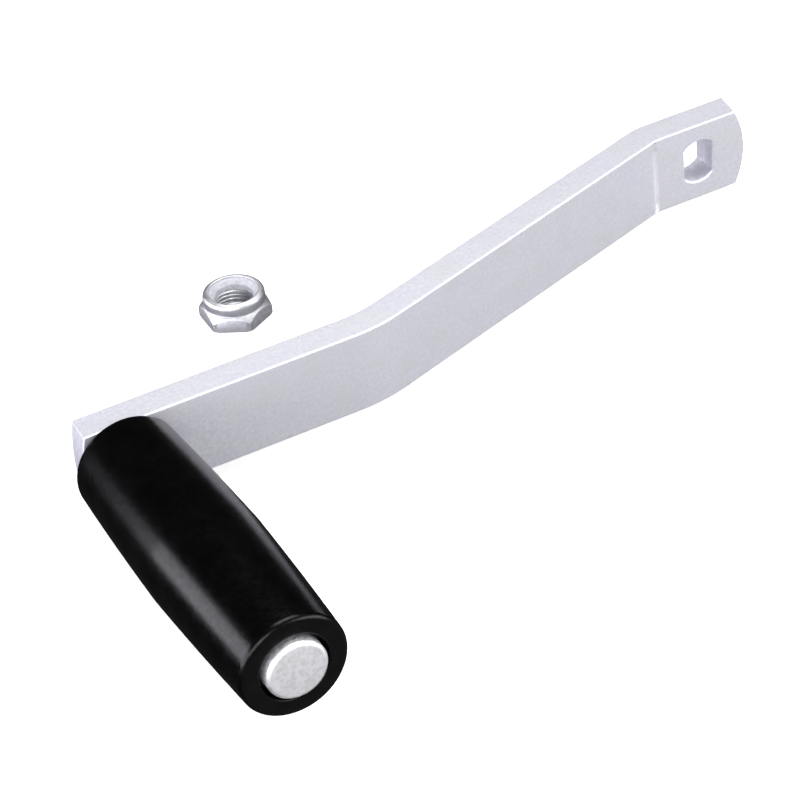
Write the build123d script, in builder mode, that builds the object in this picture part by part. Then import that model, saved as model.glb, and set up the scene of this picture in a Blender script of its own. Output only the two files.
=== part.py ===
"""Winch handle: a joggled flat-bar arm, a grip that spins on a riveted spindle, and a loose lock nut.

Frame, in millimetres: +X runs along the arm from the grip end to the hub end, +Y is the hub's axis and
points at the winch, +Z is across the bar's width. The origin is the centre of the hub's drive hole on
the face that bears on the winch. The grip points to -Y.
"""

import os
from math import atan2, cos, radians, sin, tan

from build123d import *

# ---------------------------------------------------------------- driving dimensions
BAR_WIDTH = 25.4  # 1 in flat bar
BAR_THICKNESS = 9.525  # 3/8 in
BAR_EDGE_RADIUS = 0.45  # rolled long edges and tumbled ends
GRIP_TO_HUB = 206.7  # between the grip's axis and the hub's axis
ARM_OFFSET = 36.9  # how far the joggle sets the hub towards the winch
ELBOW_TO_HUB = 128.3  # from the elbow's front corner to the hub's axis
HUB_BEND_TO_HUB = 15.0  # from the hub bend's front corner to the hub's axis
ELBOW_INNER_RADIUS = 40.0
HUB_BEND_INNER_RADIUS = 8.0
GRIP_END_REACH = 12.1  # from the grip's axis to the tip of the bar, on the grip's side
HUB_END_REACH = 16.1  # from the hub's axis to the tip of the bar, on the grip's side
GRIP_END_RADIUS = 62.0  # arc that the grip end is cropped to
HUB_END_RADIUS = 27.0
GRIP_END_SLANT = 4.5  # degrees; the shear's cut leans towards +X on its way through the bar
HUB_END_SLANT = 9.0
PRESS_MARK_RADIUS = 1.5  # nose of the press tool, which leaves a line inside the hub bend
PRESS_MARK_DEPTH = 0.3  # below the bend's corner
PRESS_MARK_LENGTH = 17.6  # at its full depth
PRESS_MARK_RUN_OUT = 3.4  # more at each end, where the line fades
PRESS_MARK_TAPER = 5.2
PRESS_MARK_SHIFT = 0.2  # from the bend's corner towards the grip end

DRIVE_HOLE_DIAMETER = 13.8  # double-D hole in the hub
DRIVE_HOLE_FLATS = 10.0  # across its two flats
DRIVE_HOLE_EDGE = 0.45

GRIP_LENGTH = 99.2
GRIP_BASE_DIAMETER = 30.4  # next to the arm
GRIP_MIDDLE_DIAMETER = 33.8  # at the mould's parting line
GRIP_TIP_DIAMETER = 30.1
GRIP_SIDE_BULGE = 0.2  # how far each half's side bows out of a plain cone
GRIP_BASE_FILLET = 1.4
GRIP_TIP_FILLET = 1.6
GRIP_END_GAP = 0.35  # end float at the arm

SPINDLE_DIAMETER = 12.7
SPINDLE_RUNNING_CLEARANCE = 0.08  # radial, in the grip's bore
HEAD_DIAMETER = 17.0
HEAD_THICKNESS = 4.8
HEAD_EDGE_RADIUS = 1.2
HEAD_FACE_TO_ARM = 101.4
HEAD_SEAT_GAP = 0.3
RECESS_DIAMETER = 19.4  # recess in the grip's tip that takes the head
RECESS_LIP = 0.5
TAIL_DIAMETER = 9.5
PEENED_HEAD_DIAMETER = 14.0
PEENED_HEAD_HEIGHT = 2.6

NUT_ACROSS_FLATS = 19.05  # thin lock nut for 1/2-20 thread
NUT_HEX_HEIGHT = 5.1  # where the collar's foot meets the hexagon's shoulder
NUT_HEIGHT = 8.8
NUT_SHOULDER_ANGLE = 45.0  # cone between the collar and the flats
NUT_BASE_CHAMFER_ANGLE = 30.0
NUT_BASE_SEAT_DIAMETER = 20.8
NUT_COLLAR_DIAMETER = 18.5
NUT_COLLAR_FOOT_DIAMETER = 18.0
NUT_COLLAR_ROUND = 1.5
NUT_LIP_DIAMETER = 15.2  # opening left by the crimped lip
NUT_LIP_THICKNESS = 0.6
NUT_THREAD_FLOOR_HEIGHT = 5.4  # top of the steel thread, under the insert
NUT_BORE_DIAMETER = 11.44  # minor diameter of the thread
NUT_MOUTH_CHAMFER = 0.75
NUT_TURN = 28.0  # corner's direction from +X, in degrees
NUT_TO_HUB_X = -142.0  # where the loose nut lies, from the origin
NUT_TO_HUB_Y = 22.5

INSERT_OUTER_DIAMETER = 16.2
INSERT_INNER_DIAMETER = 11.6
INSERT_MOUTH_CHAMFER = 0.7

# ---------------------------------------------------------------- places worked out from them
OUTER_FACE_Y = -BAR_THICKNESS
GRIP_FACE_Y = -ARM_OFFSET - BAR_THICKNESS
GRIP_BACK_Y = -ARM_OFFSET
GRIP_X = -GRIP_TO_HUB
TIP_X = GRIP_X - GRIP_END_REACH
END_X = HUB_END_REACH
CROP_MARGIN = 8.0  # bar removed by the crop, and more
RAW_TIP_X = TIP_X - CROP_MARGIN / 2
RAW_END_X = END_X + CROP_MARGIN / 2
REST_Z = -GRIP_MIDDLE_DIAMETER / 2
SLOPE = atan2(ARM_OFFSET, ELBOW_TO_HUB - HUB_BEND_TO_HUB)
BACK_SHIFT = BAR_THICKNESS * tan(SLOPE / 2)  # the back face's corners lie this much nearer the grip end
PEENED_DOME_RADIUS = (PEENED_HEAD_DIAMETER**2 / 4 + PEENED_HEAD_HEIGHT**2) / (2 * PEENED_HEAD_HEIGHT)

GRIP_AXIS = Axis((GRIP_X, 0, 0), (0, 1, 0))
GRIP_PLANE = Plane(origin=(GRIP_X, GRIP_FACE_Y, 0))  # its x is the radius, its y the distance from the arm
NUT_PLANE = Plane(origin=(NUT_TO_HUB_X, NUT_TO_HUB_Y, REST_Z))
NUT_AXIS = Axis((NUT_TO_HUB_X, NUT_TO_HUB_Y, REST_Z), (0, 0, 1))
NUT_SECTION = Plane(origin=(NUT_TO_HUB_X, NUT_TO_HUB_Y, REST_Z), x_dir=(1, 0, 0), z_dir=(0, -1, 0))


# ---------------------------------------------------------------- arm
with BuildPart() as arm:
    with BuildSketch(Plane.XY) as bar_outline:
        with BuildLine():
            Polyline(
                (RAW_TIP_X, GRIP_FACE_Y),
                (-ELBOW_TO_HUB, GRIP_FACE_Y),
                (-HUB_BEND_TO_HUB, OUTER_FACE_Y),
                (RAW_END_X, OUTER_FACE_Y),
                (RAW_END_X, 0),
                (-HUB_BEND_TO_HUB - BACK_SHIFT, 0),
                (-ELBOW_TO_HUB - BACK_SHIFT, GRIP_BACK_Y),
                (RAW_TIP_X, GRIP_BACK_Y),
                close=True,
            )
        make_face()
        corners = bar_outline.vertices().sort_by(Axis.X)
        elbow, hub_bend = corners[2:4].sort_by(Axis.Y), corners[4:6].sort_by(Axis.Y)
        fillet(elbow[0], ELBOW_INNER_RADIUS + BAR_THICKNESS)
        fillet(bar_outline.vertices().sort_by_distance(elbow[1].center())[0], ELBOW_INNER_RADIUS)
        fillet(bar_outline.vertices().sort_by_distance(hub_bend[0].center())[0], HUB_BEND_INNER_RADIUS)
        fillet(
            bar_outline.vertices().sort_by_distance(hub_bend[1].center())[0],
            HUB_BEND_INNER_RADIUS + BAR_THICKNESS,
        )
    extrude(amount=BAR_WIDTH / 2, both=True)

    # Each end is cropped to a large arc by a cut that leans a little.
    for front_y, end_x, arc_centre_x, arc_radius, slant in (
        (GRIP_FACE_Y, TIP_X, TIP_X + GRIP_END_RADIUS, GRIP_END_RADIUS, GRIP_END_SLANT),
        (OUTER_FACE_Y, END_X, END_X - HUB_END_RADIUS, HUB_END_RADIUS, HUB_END_SLANT),
    ):
        with BuildSketch(Plane.XZ.offset(-front_y)):
            with Locations((end_x, 0)):
                Rectangle(2 * CROP_MARGIN, 2 * BAR_WIDTH)
            with Locations((arc_centre_x, 0)):
                Circle(arc_radius, mode=Mode.SUBTRACT)
        cut_direction = (sin(radians(slant)), cos(radians(slant)), 0)
        extrude(amount=2 * BAR_THICKNESS, dir=cut_direction, mode=Mode.SUBTRACT)
    fillet(arm.edges().filter_by(Axis.Z, reverse=True), BAR_EDGE_RADIUS)

    # Line pressed into the inside of the hub bend, fading at its ends.
    mark_x = -HUB_BEND_TO_HUB - PRESS_MARK_SHIFT
    mark_y = OUTER_FACE_Y - PRESS_MARK_RADIUS + PRESS_MARK_DEPTH
    with BuildSketch(Plane(origin=(mark_x, mark_y, 0))):
        Circle(PRESS_MARK_RADIUS)
    extrude(amount=PRESS_MARK_LENGTH / 2, both=True, mode=Mode.SUBTRACT)
    for side in (1, -1):
        end_centre = (mark_x, mark_y, side * PRESS_MARK_LENGTH / 2)
        with BuildSketch(Plane(origin=end_centre, x_dir=(1, 0, 0), z_dir=(0, 0, side))):
            Circle(PRESS_MARK_RADIUS)
        extrude(amount=PRESS_MARK_RUN_OUT, taper=PRESS_MARK_TAPER, mode=Mode.SUBTRACT)

    # Double-D drive hole, its flats across the arm.
    with BuildSketch(Plane.XZ):
        Circle(DRIVE_HOLE_DIAMETER / 2)
        Rectangle(DRIVE_HOLE_FLATS, DRIVE_HOLE_DIAMETER, mode=Mode.INTERSECT)
    extrude(amount=BAR_THICKNESS, mode=Mode.SUBTRACT)
    hole_edges = arm.edges().filter_by(
        lambda edge: edge.center().length < BAR_THICKNESS + DRIVE_HOLE_DIAMETER / 2
        and abs(edge.center().X) < DRIVE_HOLE_DIAMETER / 2
    )
    chamfer(hole_edges.filter_by(Axis.Y, reverse=True), DRIVE_HOLE_EDGE)

    # Hole that the spindle's tail is riveted through.
    with BuildSketch(Plane.XZ.offset(ARM_OFFSET)):
        with Locations((GRIP_X, 0)):
            Circle(TAIL_DIAMETER / 2)
    extrude(amount=BAR_THICKNESS, mode=Mode.SUBTRACT)
arm.part.label = "arm"

# ---------------------------------------------------------------- grip
GRIP_BASE = -GRIP_END_GAP
GRIP_TIP = GRIP_BASE - GRIP_LENGTH
GRIP_MIDDLE = (GRIP_BASE + GRIP_TIP) / 2
RECESS_FLOOR = -HEAD_FACE_TO_ARM + HEAD_THICKNESS + HEAD_SEAT_GAP
BORE_RADIUS = SPINDLE_DIAMETER / 2 + SPINDLE_RUNNING_CLEARANCE


def bowed_point(start, end, bow):
    """Middle of a cone's side, moved outwards by bow."""
    return ((start[0] + end[0]) / 2 + bow, (start[1] + end[1]) / 2)


with BuildPart() as grip:
    base_edge = (GRIP_BASE_DIAMETER / 2, GRIP_BASE)
    parting_line = (GRIP_MIDDLE_DIAMETER / 2, GRIP_MIDDLE)
    tip_edge = (GRIP_TIP_DIAMETER / 2, GRIP_TIP)
    with BuildSketch(GRIP_PLANE) as grip_section:
        with BuildLine():
            Line((BORE_RADIUS, GRIP_BASE), base_edge)
            ThreePointArc(base_edge, bowed_point(base_edge, parting_line, GRIP_SIDE_BULGE), parting_line)
            ThreePointArc(parting_line, bowed_point(parting_line, tip_edge, GRIP_SIDE_BULGE), tip_edge)
            Polyline(
                tip_edge,
                (RECESS_DIAMETER / 2, GRIP_TIP),
                (RECESS_DIAMETER / 2, RECESS_FLOOR),
                (BORE_RADIUS, RECESS_FLOOR),
                (BORE_RADIUS, GRIP_BASE),
            )
        make_face()
    revolve(axis=GRIP_AXIS)
    rims = grip.edges().filter_by(GeomType.CIRCLE)
    base_rim = rims.group_by(Axis.Y)[-1].sort_by(SortBy.RADIUS)[-1]
    tip_rim = rims.group_by(Axis.Y)[0].sort_by(SortBy.RADIUS)[-1]
    recess_rim = rims.group_by(Axis.Y)[0].sort_by(SortBy.RADIUS)[0]
    fillet(base_rim, GRIP_BASE_FILLET)
    fillet(tip_rim, GRIP_TIP_FILLET)
    fillet(recess_rim, RECESS_LIP)
grip.part.label = "grip"

# ---------------------------------------------------------------- spindle: a shoulder rivet
with BuildPart() as grip_spindle:
    head_radius = HEAD_DIAMETER / 2
    shank_radius = SPINDLE_DIAMETER / 2
    tail_radius = TAIL_DIAMETER / 2
    with BuildSketch(GRIP_PLANE):
        with BuildLine():
            Polyline(
                (0, -HEAD_FACE_TO_ARM),
                (head_radius, -HEAD_FACE_TO_ARM),
                (head_radius, -HEAD_FACE_TO_ARM + HEAD_THICKNESS),
                (shank_radius, -HEAD_FACE_TO_ARM + HEAD_THICKNESS),
                (shank_radius, 0),
                (tail_radius, 0),
                (tail_radius, BAR_THICKNESS),
                (PEENED_HEAD_DIAMETER / 2, BAR_THICKNESS),
            )
            RadiusArc(
                (PEENED_HEAD_DIAMETER / 2, BAR_THICKNESS),
                (0, BAR_THICKNESS + PEENED_HEAD_HEIGHT),
                -PEENED_DOME_RADIUS,
            )
            Line((0, BAR_THICKNESS + PEENED_HEAD_HEIGHT), (0, -HEAD_FACE_TO_ARM))
        make_face()
    revolve(axis=GRIP_AXIS)
    head_rim = grip_spindle.edges().filter_by(GeomType.CIRCLE).group_by(Axis.Y)[0]
    fillet(head_rim, HEAD_EDGE_RADIUS)
grip_spindle.part.label = "grip_spindle"

# ---------------------------------------------------------------- lock nut, lying flat with its collar up
CORNER_RADIUS = NUT_ACROSS_FLATS / 2 / cos(radians(30)) + 0.5
BASE_SEAT_RADIUS = NUT_BASE_SEAT_DIAMETER / 2
BASE_CHAMFER_RISE = (CORNER_RADIUS - BASE_SEAT_RADIUS) * tan(radians(NUT_BASE_CHAMFER_ANGLE))
COLLAR_RADIUS = NUT_COLLAR_DIAMETER / 2
COLLAR_FOOT_RADIUS = NUT_COLLAR_FOOT_DIAMETER / 2
SHOULDER_DROP = (CORNER_RADIUS - COLLAR_FOOT_RADIUS) * tan(radians(NUT_SHOULDER_ANGLE))
INSERT_TOP = NUT_HEIGHT - NUT_LIP_THICKNESS

with BuildPart() as lock_nut:
    with BuildSketch(NUT_PLANE):
        RegularPolygon(NUT_ACROSS_FLATS / 2, 6, major_radius=False, rotation=NUT_TURN)
    extrude(amount=NUT_HEX_HEIGHT)
    # Turned down to a cone at each end, which leaves curved chamfers on the corners.
    with BuildSketch(NUT_SECTION):
        with BuildLine():
            Polyline(
                (0, 0),
                (BASE_SEAT_RADIUS, 0),
                (CORNER_RADIUS, BASE_CHAMFER_RISE),
                (CORNER_RADIUS, NUT_HEX_HEIGHT - SHOULDER_DROP),
                (COLLAR_FOOT_RADIUS, NUT_HEX_HEIGHT),
                (0, NUT_HEX_HEIGHT),
                close=True,
            )
        make_face()
    revolve(axis=NUT_AXIS, mode=Mode.INTERSECT)
    # Collar crimped over the insert, a little wider than its foot.
    with BuildSketch(NUT_SECTION):
        with BuildLine():
            Polyline(
                (0, NUT_HEX_HEIGHT),
                (COLLAR_FOOT_RADIUS, NUT_HEX_HEIGHT),
                (COLLAR_RADIUS, NUT_HEX_HEIGHT + COLLAR_RADIUS - COLLAR_FOOT_RADIUS),
                (COLLAR_RADIUS, NUT_HEIGHT),
                (0, NUT_HEIGHT),
                close=True,
            )
        make_face()
    revolve(axis=NUT_AXIS)
    fillet(lock_nut.edges().group_by(Axis.Z)[-1], NUT_COLLAR_ROUND)
    with BuildSketch(NUT_PLANE):
        Circle(NUT_BORE_DIAMETER / 2)
    extrude(amount=NUT_HEIGHT, mode=Mode.SUBTRACT)
    round_edges = lock_nut.edges().filter_by(GeomType.CIRCLE)
    chamfer(round_edges.group_by(Axis.Z)[0].sort_by(SortBy.RADIUS)[0], NUT_MOUTH_CHAMFER)
    with BuildSketch(NUT_PLANE.offset(NUT_THREAD_FLOOR_HEIGHT)):
        Circle(INSERT_OUTER_DIAMETER / 2)
    extrude(amount=INSERT_TOP - NUT_THREAD_FLOOR_HEIGHT, mode=Mode.SUBTRACT)
    with BuildSketch(NUT_PLANE.offset(INSERT_TOP)):
        Circle(NUT_LIP_DIAMETER / 2)
    extrude(amount=NUT_LIP_THICKNESS, mode=Mode.SUBTRACT)
lock_nut.part.label = "lock_nut"

# ---------------------------------------------------------------- locking ring inside the collar
with BuildPart() as nylon_insert:
    with BuildSketch(NUT_PLANE.offset(NUT_THREAD_FLOOR_HEIGHT)):
        Circle(INSERT_OUTER_DIAMETER / 2)
        Circle(INSERT_INNER_DIAMETER / 2, mode=Mode.SUBTRACT)
    extrude(amount=INSERT_TOP - NUT_THREAD_FLOOR_HEIGHT)
    mouth = nylon_insert.edges().group_by(Axis.Z)[-1].sort_by(SortBy.RADIUS)[0]
    chamfer(mouth, INSERT_MOUTH_CHAMFER)
nylon_insert.part.label = "nylon_insert"

# ---------------------------------------------------------------- one file for each piece
os.makedirs("parts", exist_ok=True)
for piece in (arm, grip, grip_spindle, lock_nut, nylon_insert):
    export_step(piece.part, f"parts/{piece.part.label}.step")
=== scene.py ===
"""Looks for the winch handle.

A zinc-plated arm, a moulded grip on its riveted spindle, and a loose lock nut. Everything is in metres, in
the CAD frame: +X along the arm towards the hub, +Y the hub's axis, +Z up.
"""

from math import atan, cos, pi, radians, sin, sqrt, tan

import bmesh
import bpy
from mathutils import Matrix, Vector


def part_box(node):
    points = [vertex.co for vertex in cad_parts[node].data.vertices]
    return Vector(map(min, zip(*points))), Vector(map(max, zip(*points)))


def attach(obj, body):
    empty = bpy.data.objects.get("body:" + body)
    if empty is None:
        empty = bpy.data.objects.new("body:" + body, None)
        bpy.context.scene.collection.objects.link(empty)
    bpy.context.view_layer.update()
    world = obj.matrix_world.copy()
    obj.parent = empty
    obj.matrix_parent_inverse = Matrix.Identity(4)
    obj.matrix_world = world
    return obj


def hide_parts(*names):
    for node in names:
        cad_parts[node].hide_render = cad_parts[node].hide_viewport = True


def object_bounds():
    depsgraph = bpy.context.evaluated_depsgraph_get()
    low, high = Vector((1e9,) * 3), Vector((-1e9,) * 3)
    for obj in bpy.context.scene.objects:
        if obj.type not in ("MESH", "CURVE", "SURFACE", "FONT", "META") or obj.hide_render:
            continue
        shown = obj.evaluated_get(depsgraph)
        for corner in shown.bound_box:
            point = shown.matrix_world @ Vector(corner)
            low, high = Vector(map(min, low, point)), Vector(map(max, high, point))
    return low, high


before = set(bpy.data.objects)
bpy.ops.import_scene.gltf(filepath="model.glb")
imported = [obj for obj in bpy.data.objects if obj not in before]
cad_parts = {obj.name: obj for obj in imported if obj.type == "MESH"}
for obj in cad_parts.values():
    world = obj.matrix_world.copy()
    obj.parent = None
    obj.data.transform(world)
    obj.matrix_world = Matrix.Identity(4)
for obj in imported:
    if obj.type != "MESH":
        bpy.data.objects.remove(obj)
cad_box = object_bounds()

MM = 0.001
SHARP_ANGLE = radians(28)  # edges that turn more than this are shown sharp
FLAT_ANGLE = radians(0.2)  # faces that turn less than this count as one flat face
MERGE_DISTANCE = 0.0005 * MM  # points closer than this are one point
SLIVER_LENGTH = 0.0002 * MM  # edges shorter than this are removed

# ---------------------------------------------------------------- places read from the frame
grip_low, grip_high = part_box("grip")
spindle_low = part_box("grip_spindle")[0]
nut_low, nut_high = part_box("lock_nut")
ring_low, ring_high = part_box("nylon_insert")
arm_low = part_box("arm")[0]

GRIP_X = (grip_low.x + grip_high.x) / 2
ARM_FACE_Y = arm_low.y  # the arm's face on the grip's side
BAR_THICKNESS = 9.525 * MM
NUT_CENTRE_X = (ring_low.x + ring_high.x) / 2
NUT_CENTRE_Y = (ring_low.y + ring_high.y) / 2
FLOOR_Z = cad_box[0].z


# ---------------------------------------------------------------- mesh helpers
def mesh_piece(name, vertices, faces, body, node):
    """Makes a smooth-shaded piece that rides on a body and stands for one CAD node."""
    mesh = bpy.data.meshes.new(name)
    mesh.from_pydata(vertices, [], faces)
    return finished_piece(name, mesh, body, node)


def finished_piece(name, mesh, body, node):
    """Tidies a mesh, shades it and puts it in the frame."""
    edit = bmesh.new()
    edit.from_mesh(mesh)
    bmesh.ops.remove_doubles(edit, verts=edit.verts, dist=MERGE_DISTANCE)
    bmesh.ops.dissolve_degenerate(edit, edges=edit.edges, dist=SLIVER_LENGTH)
    bmesh.ops.recalc_face_normals(edit, faces=edit.faces)
    edit.to_mesh(mesh)
    edit.free()
    mesh.polygons.foreach_set("use_smooth", [True] * len(mesh.polygons))
    mesh.set_sharp_from_angle(angle=SHARP_ANGLE)
    piece = bpy.data.objects.new(name, mesh)
    bpy.context.scene.collection.objects.link(piece)
    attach(piece, body)
    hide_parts(node)
    return piece


def join_flat_faces(mesh):
    """Joins triangles that lie in one plane, so that the plane is shaded as one face."""
    edit = bmesh.new()
    edit.from_mesh(mesh)
    bmesh.ops.remove_doubles(edit, verts=edit.verts, dist=MERGE_DISTANCE)
    bmesh.ops.dissolve_limit(edit, angle_limit=FLAT_ANGLE, verts=edit.verts, edges=edit.edges)
    edit.to_mesh(mesh)
    edit.free()


def arc(centre, radius, start, end, steps):
    """Points on an arc in a profile plane, angles in degrees, both ends included."""
    points = []
    for i in range(steps + 1):
        angle = radians(start + (end - start) * i / steps)
        points.append((centre[0] + radius * cos(angle), centre[1] + radius * sin(angle)))
    return points


def bowed(start, end, bow, steps):
    """Points from start to end, leaving out start, that bow outwards in the middle."""
    points = []
    for i in range(1, steps + 1):
        t = i / steps
        radius = start[0] + (end[0] - start[0]) * t + 4 * bow * t * (1 - t)
        points.append((radius, start[1] + (end[1] - start[1]) * t))
    return points


def grid_faces(columns, rows):
    """Quads of a grid that closes on itself both ways, as a torus does."""
    faces = []
    for i in range(columns):
        for j in range(rows):
            a = i * rows + j
            b = ((i + 1) % columns) * rows + j
            faces.append((a, b, ((i + 1) % columns) * rows + (j + 1) % rows, i * rows + (j + 1) % rows))
    return faces


def turned_about_y(profile, centre_x, segments):
    """A closed profile of (radius, y) points turned about the Y axis through centre_x."""
    vertices = []
    for i in range(segments):
        angle = 2 * pi * i / segments
        for radius, y in profile:
            vertices.append((centre_x + radius * cos(angle), y, radius * sin(angle)))
    return vertices, grid_faces(segments, len(profile))


# ---------------------------------------------------------------- material helpers
class Nodes:
    """Adds shader nodes to one material with little typing."""

    def __init__(self, name, base_color, metallic, roughness):
        self.material = bpy.data.materials.new(name)
        self.material.use_nodes = True
        self.tree = self.material.node_tree
        self.shader = self.tree.nodes["Principled BSDF"]
        self.shader.inputs["Base Color"].default_value = (*base_color, 1.0)
        self.shader.inputs["Metallic"].default_value = metallic
        self.shader.inputs["Roughness"].default_value = roughness
        self.place = self.add("ShaderNodeTexCoord").outputs["Object"]

    def add(self, kind, **settings):
        node = self.tree.nodes.new(kind)
        for key, value in settings.items():
            setattr(node, key, value)
        return node

    def join(self, output, node, name):
        self.tree.links.new(output, node.inputs[name])

    def stretched(self, factors):
        """The place on the object, scaled differently along X, Y and Z."""
        mapping = self.add("ShaderNodeMapping")
        mapping.inputs["Scale"].default_value = factors
        self.join(self.place, mapping, "Vector")
        return mapping.outputs["Vector"]

    def noise(self, size, detail=3.0, roughness=0.5, distortion=0.0, place=None):
        """Noise whose blotches are about size metres across, from 0 to 1."""
        node = self.add("ShaderNodeTexNoise")
        node.inputs["Scale"].default_value = 1 / size
        node.inputs["Detail"].default_value = detail
        node.inputs["Roughness"].default_value = roughness
        node.inputs["Distortion"].default_value = distortion
        self.join(place or self.place, node, "Vector")
        return node.outputs["Fac"]

    def ranged(self, value, low, high, to_low, to_high, smooth=True):
        """Takes value from the range low to high into the range to_low to to_high, and clamps it."""
        node = self.add("ShaderNodeMapRange", interpolation_type="SMOOTHSTEP" if smooth else "LINEAR")
        node.inputs["From Min"].default_value = low
        node.inputs["From Max"].default_value = high
        node.inputs["To Min"].default_value = to_low
        node.inputs["To Max"].default_value = to_high
        self.join(value, node, "Value")
        return node.outputs["Result"]

    def maths(self, operation, first, second):
        node = self.add("ShaderNodeMath", operation=operation)
        for socket, value in zip(node.inputs, (first, second)):
            if isinstance(value, (int, float)):
                socket.default_value = value
            else:
                self.tree.links.new(value, socket)
        return node.outputs["Value"]

    def near(self, point, place, distance):
        """1 where a place is within distance of a point, falling to 0 just outside."""
        away = self.add("ShaderNodeVectorMath", operation="DISTANCE")
        away.inputs[1].default_value = point
        self.join(place, away, 0)
        return self.ranged(away.outputs["Value"], distance, distance + MASK_EDGE, 1.0, 0.0)

    def mixed(self, share, first, second):
        """Mixes two colours; each is a tuple or a socket."""
        node = self.add("ShaderNodeMix", data_type="RGBA")
        self.tree.links.new(share, node.inputs["Factor"])
        for socket, value in ((node.inputs[6], first), (node.inputs[7], second)):
            if isinstance(value, tuple):
                socket.default_value = (*value, 1.0)
            else:
                self.tree.links.new(value, socket)
        return node.outputs[2]

    def bump(self, height, distance, strength=1.0, over=None):
        """A normal from a height between 0 and 1 that stands for distance metres."""
        node = self.add("ShaderNodeBump")
        node.inputs["Strength"].default_value = strength
        node.inputs["Distance"].default_value = distance
        self.join(height, node, "Height")
        if over is not None:
            self.join(over, node, "Normal")
        return node.outputs["Normal"]

    def set(self, **sockets):
        """Links outputs to the shader's inputs, named with underscores."""
        for name, output in sockets.items():
            self.join(output, self.shader, name.replace("_", " "))


def give(piece, material):
    piece.data.materials.clear()
    piece.data.materials.append(material)


# ---------------------------------------------------------------- materials
MASK_EDGE = 0.05 * MM  # over this distance a change of finish fades out
HUB_AXIS = (0, 0, 0)
DRIVE_HOLE_RADIUS = 6.92 * MM  # just outside the hole's walls, and so are its flats
DRIVE_HOLE_HALF_FLATS = 5.02 * MM
PUNCHED_ROUGHNESS = 0.72  # torn walls of the punched drive hole
PRESS_LINE = (-15.0 * MM, -9.35 * MM, 0)  # bright band in the groove pressed into the hub bend
# Colour of a painted highlight along the pressed groove that stands for its lit wall, partly a burnished
# tone of the zinc.
BURNISH_AND_HIGHLIGHT_COLOR = (0.85, 0.85, 0.88)
PRESS_LINE_HALF_WIDTH = 0.73 * MM
PRESS_LINE_HALF_LENGTH = 12.0 * MM


def bar_zinc():
    """Clear zinc plate on hot-rolled bar: pale, slightly lavender, mottled and faintly grained, with a
    painted highlight, partly burnished zinc, along the groove pressed into the hub bend.
    """
    made = Nodes("bar_zinc", (0.80, 0.80, 0.84), metallic=1.0, roughness=0.58)
    clouds = made.noise(9 * MM, detail=4)
    mottle = made.noise(1.3 * MM, detail=3, roughness=0.6)
    grain = made.noise(0.45 * MM, detail=2)
    rolling = made.noise(0.5 * MM, detail=2, place=made.stretched((0.03, 0.6, 0.6)))
    patchy = made.maths("ADD", made.maths("MULTIPLY", clouds, 0.5), made.maths("MULTIPLY", mottle, 0.5))
    tone = made.ranged(patchy, 0.38, 0.62, 0.0, 1.0)
    color = made.mixed(tone, (0.70, 0.70, 0.77), (0.86, 0.86, 0.91))
    speck = made.ranged(grain, 0.58, 0.70, 0.0, 0.4)
    color = made.mixed(speck, color, (0.93, 0.93, 0.96))
    rough = made.ranged(patchy, 0.38, 0.62, 0.64, 0.54)
    punched = made.maths(
        "MULTIPLY",
        made.near(HUB_AXIS, made.stretched((1, 0, 1)), DRIVE_HOLE_RADIUS),
        made.near(HUB_AXIS, made.stretched((1, 0, 0)), DRIVE_HOLE_HALF_FLATS),
    )
    rough = made.maths("MAXIMUM", rough, made.maths("MULTIPLY", punched, PUNCHED_ROUGHNESS))
    # Painted highlight, partly burnished zinc: lightens the colour in a narrow band along the groove
    # pressed into the hub bend.
    burnish_and_highlight = made.maths(
        "MULTIPLY",
        made.near(PRESS_LINE, made.stretched((1, 1, 0)), PRESS_LINE_HALF_WIDTH),
        made.near(HUB_AXIS, made.stretched((0, 0, 1)), PRESS_LINE_HALF_LENGTH),
    )
    color = made.mixed(burnish_and_highlight, color, BURNISH_AND_HIGHLIGHT_COLOR)
    height = made.maths("ADD", made.maths("MULTIPLY", grain, 0.6), made.maths("MULTIPLY", rolling, 0.4))
    normal = made.bump(height, 0.02 * MM, 0.9, over=made.bump(clouds, 0.08 * MM))
    made.set(Base_Color=color, Roughness=rough, Normal=normal)
    return made.material


def spindle_zinc():
    """Zinc plate on a cold-headed rivet, with faint rings from the lathe."""
    made = Nodes("spindle_zinc", (0.90, 0.90, 0.93), metallic=1.0, roughness=0.55)
    mottle = made.noise(1.2 * MM, detail=3)
    grain = made.noise(0.3 * MM, detail=2)
    color = made.mixed(made.ranged(mottle, 0.38, 0.62, 0.0, 1.0), (0.90, 0.90, 0.93), (0.98, 0.98, 0.99))
    made.set(
        Base_Color=color,
        Roughness=made.ranged(mottle, 0.35, 0.65, 0.60, 0.50),
        Normal=made.bump(grain, 0.01 * MM),
    )
    return made.material


def nut_zinc():
    """Bright zinc plate on a cold-formed nut."""
    made = Nodes("nut_zinc", (0.80, 0.80, 0.84), metallic=1.0, roughness=0.48)
    mottle = made.noise(1.4 * MM, detail=3)
    grain = made.noise(0.25 * MM, detail=2)
    color = made.mixed(made.ranged(mottle, 0.38, 0.62, 0.0, 1.0), (0.74, 0.74, 0.80), (0.86, 0.86, 0.89))
    made.set(
        Base_Color=color,
        Roughness=made.ranged(mottle, 0.35, 0.65, 0.53, 0.43),
        Normal=made.bump(grain, 0.006 * MM, over=made.bump(mottle, 0.02 * MM)),
    )
    return made.material


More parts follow.
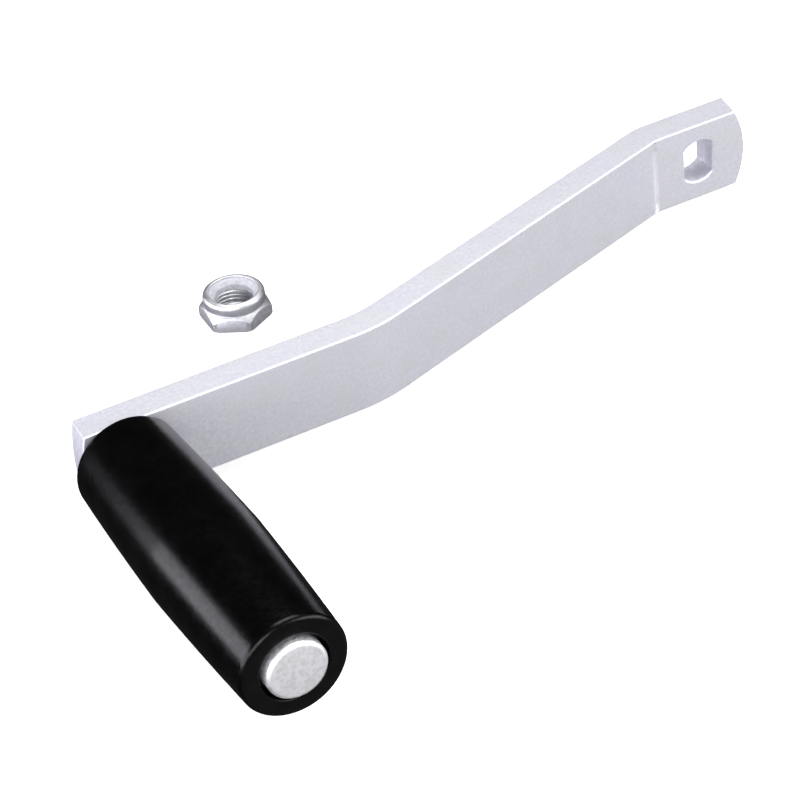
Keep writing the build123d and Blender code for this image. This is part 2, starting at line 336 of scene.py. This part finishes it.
def grip_plastic():
    """Moulded black plastic with a fine spark-eroded grain."""
    made = Nodes("grip_plastic", (0.0009, 0.0009, 0.001), metallic=0.0, roughness=0.22)
    made.shader.inputs["Specular IOR Level"].default_value = 0.15
    grain = made.noise(0.55 * MM, detail=2.5, roughness=0.6)
    pits = made.noise(1.1 * MM, detail=2)
    clouds = made.noise(7 * MM, detail=3)
    tone = made.ranged(clouds, 0.35, 0.65, 0.0, 1.0)
    color = made.mixed(tone, (0.0006, 0.0006, 0.0007), (0.0012, 0.0012, 0.0014))
    made.set(
        Base_Color=color,
        Roughness=made.ranged(pits, 0.35, 0.65, 0.18, 0.26),
        Normal=made.bump(grain, 0.034 * MM),
    )
    return made.material


def nylon():
    """Off-white nylon that lets a little light in."""
    made = Nodes("nylon", (0.47, 0.47, 0.51), metallic=0.0, roughness=0.4)
    made.shader.inputs["Subsurface Weight"].default_value = 0.3
    made.shader.inputs["Subsurface Radius"].default_value = (1.0, 0.9, 0.9)
    made.shader.inputs["Subsurface Scale"].default_value = 1.0 * MM
    mottle = made.noise(0.9 * MM, detail=3)
    color = made.mixed(made.ranged(mottle, 0.35, 0.65, 0.0, 1.0), (0.42, 0.42, 0.46), (0.52, 0.52, 0.56))
    made.set(Base_Color=color, Normal=made.bump(mottle, 0.02 * MM))
    return made.material


# ---------------------------------------------------------------- arm
def make_arm():
    """The bent bar: a copy of its CAD solid, smooth over its bends and rounded edges."""
    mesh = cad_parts["arm"].data.copy()
    mesh.name = "bent_bar"
    join_flat_faces(mesh)
    piece = finished_piece("bent_bar", mesh, "arm", "arm")
    modifier = piece.modifiers.new("flat_faces_stay_flat", "WEIGHTED_NORMAL")
    modifier.keep_sharp = True
    give(piece, bar_zinc())


# ---------------------------------------------------------------- grip
GRIP_BASE_RADIUS = 15.2 * MM
GRIP_TIP_RADIUS = 15.05 * MM
GRIP_SIDE_BULGE = 0.2 * MM
GRIP_BASE_FILLET = 1.4 * MM
GRIP_TIP_FILLET = 1.6 * MM
BORE_RADIUS = 6.43 * MM
RECESS_RADIUS = 9.7 * MM
RECESS_DEPTH = 3.2 * MM
RECESS_LIP = 0.5 * MM
GRIP_SEGMENTS = 192


def make_grip():
    """The moulded grip: two half-cones that meet at the mould's parting line."""
    base_y = grip_high.y
    tip_y = grip_low.y
    parting_line = (grip_high.z, (base_y + tip_y) / 2)
    base_round = (GRIP_BASE_RADIUS - GRIP_BASE_FILLET, base_y - GRIP_BASE_FILLET)
    tip_round = (GRIP_TIP_RADIUS - GRIP_TIP_FILLET, tip_y + GRIP_TIP_FILLET)
    profile = [(BORE_RADIUS, base_y)]
    profile += arc(base_round, GRIP_BASE_FILLET, 90, 0, 8)
    profile += bowed(profile[-1], parting_line, GRIP_SIDE_BULGE, 24)
    profile += bowed(parting_line, (GRIP_TIP_RADIUS, tip_y + GRIP_TIP_FILLET), GRIP_SIDE_BULGE, 24)
    profile += arc(tip_round, GRIP_TIP_FILLET, 0, -90, 10)[1:]
    profile += arc((RECESS_RADIUS + RECESS_LIP, tip_y + RECESS_LIP), RECESS_LIP, -90, -180, 5)
    profile += [(RECESS_RADIUS, tip_y + RECESS_DEPTH), (BORE_RADIUS, tip_y + RECESS_DEPTH)]
    vertices, faces = turned_about_y(profile, GRIP_X, GRIP_SEGMENTS)
    piece = mesh_piece("moulded_grip", vertices, faces, "grip", "grip")
    give(piece, grip_plastic())


# ---------------------------------------------------------------- spindle
HEAD_RADIUS = 8.5 * MM
HEAD_THICKNESS = 4.8 * MM
HEAD_EDGE_RADIUS = 1.2 * MM
SHANK_RADIUS = 6.35 * MM
TAIL_RADIUS = 4.75 * MM
PEENED_RADIUS = 7.0 * MM
PEENED_HEIGHT = 2.6 * MM
PEENED_FULLNESS = 2.4  # power of the dome's curve; 2 is a parabola
SET_RING_DEPTH = 0.10 * MM
SET_RING_PLACE = 0.45  # share of the way from the rim to the axis
SET_RING_SPREAD = 0.12
PEENED_STEPS = 20
AXIS_GAP = 0.02 * MM  # the profile stops this short of the axis, and a small face closes it
SPINDLE_SEGMENTS = 128


def peened_point(t):
    """Profile of the peened tail: a dome with a shallow ring where the rivet set pressed it."""
    radius = PEENED_RADIUS * (1 - t)
    height = PEENED_HEIGHT * (1 - (1 - t) ** PEENED_FULLNESS)
    ring = SET_RING_DEPTH * cos(min(abs(t - SET_RING_PLACE) / SET_RING_SPREAD, 1) * pi / 2)
    return max(radius, AXIS_GAP), ARM_FACE_Y + BAR_THICKNESS + height - ring


def make_spindle():
    """The shoulder rivet that the grip turns on."""
    face_y = spindle_low.y
    arm_back_y = ARM_FACE_Y + BAR_THICKNESS
    head_round = (HEAD_RADIUS - HEAD_EDGE_RADIUS, face_y + HEAD_EDGE_RADIUS)
    profile = [(AXIS_GAP, face_y)]
    profile += arc(head_round, HEAD_EDGE_RADIUS, -90, 0, 10)
    profile += [(HEAD_RADIUS, face_y + HEAD_THICKNESS), (SHANK_RADIUS, face_y + HEAD_THICKNESS)]
    profile += [(SHANK_RADIUS, ARM_FACE_Y), (TAIL_RADIUS, ARM_FACE_Y), (TAIL_RADIUS, arm_back_y)]
    profile += [peened_point(i / PEENED_STEPS) for i in range(PEENED_STEPS + 1)]
    vertices, faces = turned_about_y(profile, GRIP_X, SPINDLE_SEGMENTS)
    piece = mesh_piece("riveted_spindle", vertices, faces, "arm", "grip_spindle")
    give(piece, spindle_zinc())


# ---------------------------------------------------------------- lock nut
NUT_INRADIUS = 19.05 / 2 * MM
NUT_CORNER_DIRECTION = radians(28)
NUT_CORNER_ROUND = 0.35 * MM
NUT_HEX_HEIGHT = 5.1 * MM
NUT_HEIGHT = nut_high.z - nut_low.z
NUT_SEAT_RADIUS = 10.4 * MM
NUT_BASE_SLOPE = tan(radians(30))
NUT_SHOULDER_SLOPE = 1.0
NUT_EDGE_ROUND = 0.12 * MM
COLLAR_FOOT_RADIUS = 9.0 * MM
COLLAR_RADIUS = 9.25 * MM
COLLAR_ROUND = 1.5 * MM
LIP_RADIUS = 7.6 * MM
LIP_THICKNESS = 0.6 * MM
LIP_OVERHANG = 0.02 * MM
POCKET_RADIUS = 8.1 * MM
THREAD_TOP = 5.4 * MM
THREAD_MINOR_RADIUS = 5.72 * MM
THREAD_DEPTH = 0.63 * MM
THREAD_PITCH = 25.4 / 20 * MM
THREAD_ROWS = 76
THREAD_CREST = 0.25  # shares of one pitch
THREAD_ROOT = 0.125
THREAD_TOP_CHAMFER = 0.3 * MM
MOUTH_RADIUS = 6.5 * MM
FACET_STEPS = 20
CORNER_STEPS = 6
FLAT_HALF_ANGLE = atan((NUT_INRADIUS - NUT_CORNER_ROUND) * tan(pi / 6) / NUT_INRADIUS)  # a side's flat part


def hexagon_directions():
    """Angles round the nut, closer together at the rounded corners."""
    angles = []
    for facet in range(6):
        centre = NUT_CORNER_DIRECTION + pi / 6 + facet * pi / 3
        for i in range(FACET_STEPS):
            angles.append((centre, -FLAT_HALF_ANGLE + 2 * FLAT_HALF_ANGLE * i / FACET_STEPS))
        for i in range(CORNER_STEPS):
            angles.append((centre, FLAT_HALF_ANGLE + 2 * (pi / 6 - FLAT_HALF_ANGLE) * i / CORNER_STEPS))
    return angles


def hexagon_radius(from_centre):
    """Distance to the hexagon's side at an angle from a facet's centre, with rounded corners."""
    if abs(from_centre) <= FLAT_HALF_ANGLE:
        return NUT_INRADIUS / cos(from_centre)
    to_corner = abs(pi / 6 - abs(from_centre))
    round_centre = (NUT_INRADIUS - NUT_CORNER_ROUND) / cos(pi / 6)
    across = round_centre * sin(to_corner)
    return round_centre * cos(to_corner) + sqrt(NUT_CORNER_ROUND**2 - across**2)


def thread_radius(angle, height):
    """Radius of the 1/2-20 thread's surface: flat crests, 60 degree flanks and flat roots."""
    phase = (height / THREAD_PITCH - angle / (2 * pi)) % 1.0
    flank = (1 - THREAD_CREST - THREAD_ROOT) / 2
    if phase < THREAD_CREST:
        share = 0.0
    elif phase < THREAD_CREST + flank:
        share = (phase - THREAD_CREST) / flank
    elif phase < THREAD_CREST + flank + THREAD_ROOT:
        share = 1.0
    else:
        share = (1 - phase) / flank
    return THREAD_MINOR_RADIUS + THREAD_DEPTH * share


def nut_profile(angle, side_radius):
    """The nut's closed section at one angle, as (radius, height) points."""
    ease = NUT_EDGE_ROUND
    side_low = max(side_radius - NUT_SEAT_RADIUS, 0) * NUT_BASE_SLOPE
    side_top = NUT_HEX_HEIGHT - (side_radius - COLLAR_FOOT_RADIUS) * NUT_SHOULDER_SLOPE
    foot_rise = COLLAR_RADIUS - COLLAR_FOOT_RADIUS
    points = [(MOUTH_RADIUS, 0), (min(side_radius, NUT_SEAT_RADIUS) - ease, 0)]
    points += [(side_radius, side_low + ease), (side_radius, side_top - ease)]
    points += [(side_radius - ease, side_top + ease * NUT_SHOULDER_SLOPE)]
    points += [(COLLAR_FOOT_RADIUS + ease, NUT_HEX_HEIGHT - ease), (COLLAR_FOOT_RADIUS, NUT_HEX_HEIGHT)]
    points += [(COLLAR_RADIUS - ease, NUT_HEX_HEIGHT + foot_rise - ease)]
    points += [(COLLAR_RADIUS, NUT_HEX_HEIGHT + foot_rise + ease)]
    points += arc((COLLAR_RADIUS - COLLAR_ROUND, NUT_HEIGHT - COLLAR_ROUND), COLLAR_ROUND, 0, 90, 10)
    lip_middle = NUT_HEIGHT - LIP_THICKNESS / 2
    points += arc((LIP_RADIUS + LIP_OVERHANG, lip_middle), LIP_THICKNESS / 2, 90, 270, 6)
    points += [(POCKET_RADIUS, NUT_HEIGHT - LIP_THICKNESS), (POCKET_RADIUS, THREAD_TOP)]
    for i in range(THREAD_ROWS + 1):
        height = THREAD_TOP * (1 - i / THREAD_ROWS)
        mouth = MOUTH_RADIUS - height
        top_ease = THREAD_MINOR_RADIUS + THREAD_TOP_CHAMFER - (THREAD_TOP - height)
        points.append((max(thread_radius(angle, height), mouth, top_ease), height))
    return points[:-1]


def make_lock_nut():
    """A thin hexagon nut with turned corners, a crimped collar and a real helical thread."""
    vertices = []
    directions = hexagon_directions()
    for centre, from_centre in directions:
        angle = centre + from_centre
        profile = nut_profile(angle, hexagon_radius(from_centre))
        for radius, height in profile:
            x = NUT_CENTRE_X + radius * cos(angle)
            y = NUT_CENTRE_Y + radius * sin(angle)
            vertices.append((x, y, nut_low.z + height))
    faces = grid_faces(len(directions), len(profile))
    piece = mesh_piece("crimped_lock_nut", vertices, faces, "lock_nut", "lock_nut")
    give(piece, nut_zinc())


RING_RADIUS = 8.05 * MM
RING_BORE_RADIUS = 5.8 * MM
RING_DISH_DEPTH = 1.5 * MM  # from under the lip down to the bore's edge
RING_DISH_FULLNESS = 1.6  # power of the dish's curve; 1 is a plain cone
RING_DISH_STEPS = 12
RING_SEGMENTS = 128


def make_nylon_ring():
    """The locking ring, dished from the crimped lip down to its bore."""
    low = ring_low.z
    high = ring_high.z
    profile = [(RING_BORE_RADIUS, low), (RING_RADIUS, low), (RING_RADIUS, high)]
    for i in range(RING_DISH_STEPS + 1):
        share = i / RING_DISH_STEPS
        radius = LIP_RADIUS + (RING_BORE_RADIUS - LIP_RADIUS) * share
        profile.append((radius, high - RING_DISH_DEPTH * share**RING_DISH_FULLNESS))
    vertices = []
    for i in range(RING_SEGMENTS):
        angle = 2 * pi * i / RING_SEGMENTS
        for radius, height in profile:
            x = NUT_CENTRE_X + radius * cos(angle)
            y = NUT_CENTRE_Y + radius * sin(angle)
            vertices.append((x, y, height))
    faces = grid_faces(RING_SEGMENTS, len(profile))
    piece = mesh_piece("nylon_ring", vertices, faces, "lock_nut", "nylon_insert")
    give(piece, nylon())


# ---------------------------------------------------------------- studio
def direction(azimuth, elevation):
    """Unit vector; azimuth in degrees from +Y towards +X."""
    a = radians(azimuth)
    e = radians(elevation)
    return Vector((sin(a) * cos(e), cos(a) * cos(e), sin(e)))


def softbox(name, azimuth, elevation, distance, width, height, watts, color=(1.0, 1.0, 1.0)):
    """A rectangular area light that faces the handle."""
    light = bpy.data.lights.new(name, "AREA")
    light.shape = "RECTANGLE"
    light.size = width
    light.size_y = height
    light.energy = watts
    light.color = color
    lamp = bpy.data.objects.new(name, light)
    towards = direction(azimuth, elevation)
    lamp.location = AIM + towards * distance
    lamp.rotation_euler = towards.to_track_quat("Z", "Y").to_euler()
    bpy.context.scene.collection.objects.link(lamp)
    return lamp


FLOOR_GLOW = 0.6  # keeps the shadows on the white floor faint
FLOOR_HALF_SIZE = 8.0  # fills the picture even when seen from 10 degrees above


def make_floor():
    mesh = bpy.data.meshes.new("floor")
    half = FLOOR_HALF_SIZE
    mesh.from_pydata(
        [(-half, -half, FLOOR_Z), (half, -half, FLOOR_Z), (half, half, FLOOR_Z), (-half, half, FLOOR_Z)],
        [],
        [(0, 1, 2, 3)],
    )
    floor = bpy.data.objects.new("floor", mesh)
    bpy.context.scene.collection.objects.link(floor)
    made = Nodes("pale_floor", (0.93, 0.93, 0.93), metallic=0.0, roughness=0.9)
    made.shader.inputs["Specular IOR Level"].default_value = 0.0
    made.shader.inputs["Emission Color"].default_value = (1.0, 1.0, 1.0, 1.0)
    made.shader.inputs["Emission Strength"].default_value = FLOOR_GLOW
    give(floor, made.material)
    floor.visible_glossy = False


ROOM_BRIGHT_SIDE = 165  # azimuth, in front of the handle
ROOM_BRIGHT = 0.32
ROOM_DIM = 0.03
ROOM_FADE_START = -0.10  # cosine of the angle from the bright side where the light begins to rise
ROOM_FADE_END = 0.60


def make_world():
    """A plain room, pale in front of the handle and dim behind it."""
    world = bpy.data.worlds.new("room")
    world.use_nodes = True
    tree = world.node_tree
    background = tree.nodes["Background"]
    background.inputs["Color"].default_value = (0.97, 0.97, 1.0, 1.0)
    place = tree.nodes.new("ShaderNodeTexCoord")
    across = tree.nodes.new("ShaderNodeVectorMath")
    across.operation = "DOT_PRODUCT"
    across.inputs[1].default_value = direction(ROOM_BRIGHT_SIDE, 0)
    fade = tree.nodes.new("ShaderNodeMapRange")
    fade.interpolation_type = "SMOOTHSTEP"
    fade.inputs["From Min"].default_value = ROOM_FADE_START
    fade.inputs["From Max"].default_value = ROOM_FADE_END
    fade.inputs["To Min"].default_value = ROOM_DIM
    fade.inputs["To Max"].default_value = ROOM_BRIGHT
    tree.links.new(place.outputs["Generated"], across.inputs[0])
    tree.links.new(across.outputs["Value"], fade.inputs["Value"])
    tree.links.new(fade.outputs["Result"], background.inputs["Strength"])
    bpy.context.scene.world = world


# Camera: where it looks, and from which side.
AIM = Vector((-0.1325, -0.0639, 0.0))
CAMERA_YAW = 25.35  # degrees from +Y towards +X
CAMERA_PITCH = -36.13
CAMERA_ROLL = -5.70
CAMERA_DISTANCE = 0.8325
CAMERA_FOCAL_LENGTH = 137.54  # on a 36 mm wide sensor


def make_camera():
    forward = direction(CAMERA_YAW, CAMERA_PITCH)
    level = forward.cross(Vector((0, 0, 1))).normalized()
    upright = level.cross(forward)
    roll = radians(CAMERA_ROLL)
    right = level * cos(roll) + upright * sin(roll)
    up = upright * cos(roll) - level * sin(roll)
    camera_data = bpy.data.cameras.new("camera")
    camera_data.lens = CAMERA_FOCAL_LENGTH
    camera_data.sensor_width = 36.0
    camera = bpy.data.objects.new("camera", camera_data)
    place = AIM - forward * CAMERA_DISTANCE
    camera.matrix_world = Matrix.Translation(place) @ Matrix((right, up, -forward)).transposed().to_4x4()
    bpy.context.scene.collection.objects.link(camera)
    bpy.context.scene.camera = camera


make_camera()
make_world()
make_floor()
softbox("overhead_softbox", 80, 80, 1.2, 1.0, 0.8, 16.5)
softbox("left_softbox", -86, 9, 1.0, 1.7, 0.5, 20, color=(0.93, 0.93, 1.0))
softbox("front_softbox", 134, 16, 1.3, 1.3, 0.6, 16.5)
softbox("front_left_softbox", 212, 18, 1.3, 0.9, 0.6, 12)
bpy.context.scene.view_settings.view_transform = "Standard"

make_arm()
make_grip()
make_spindle()
make_lock_nut()
make_nylon_ring()
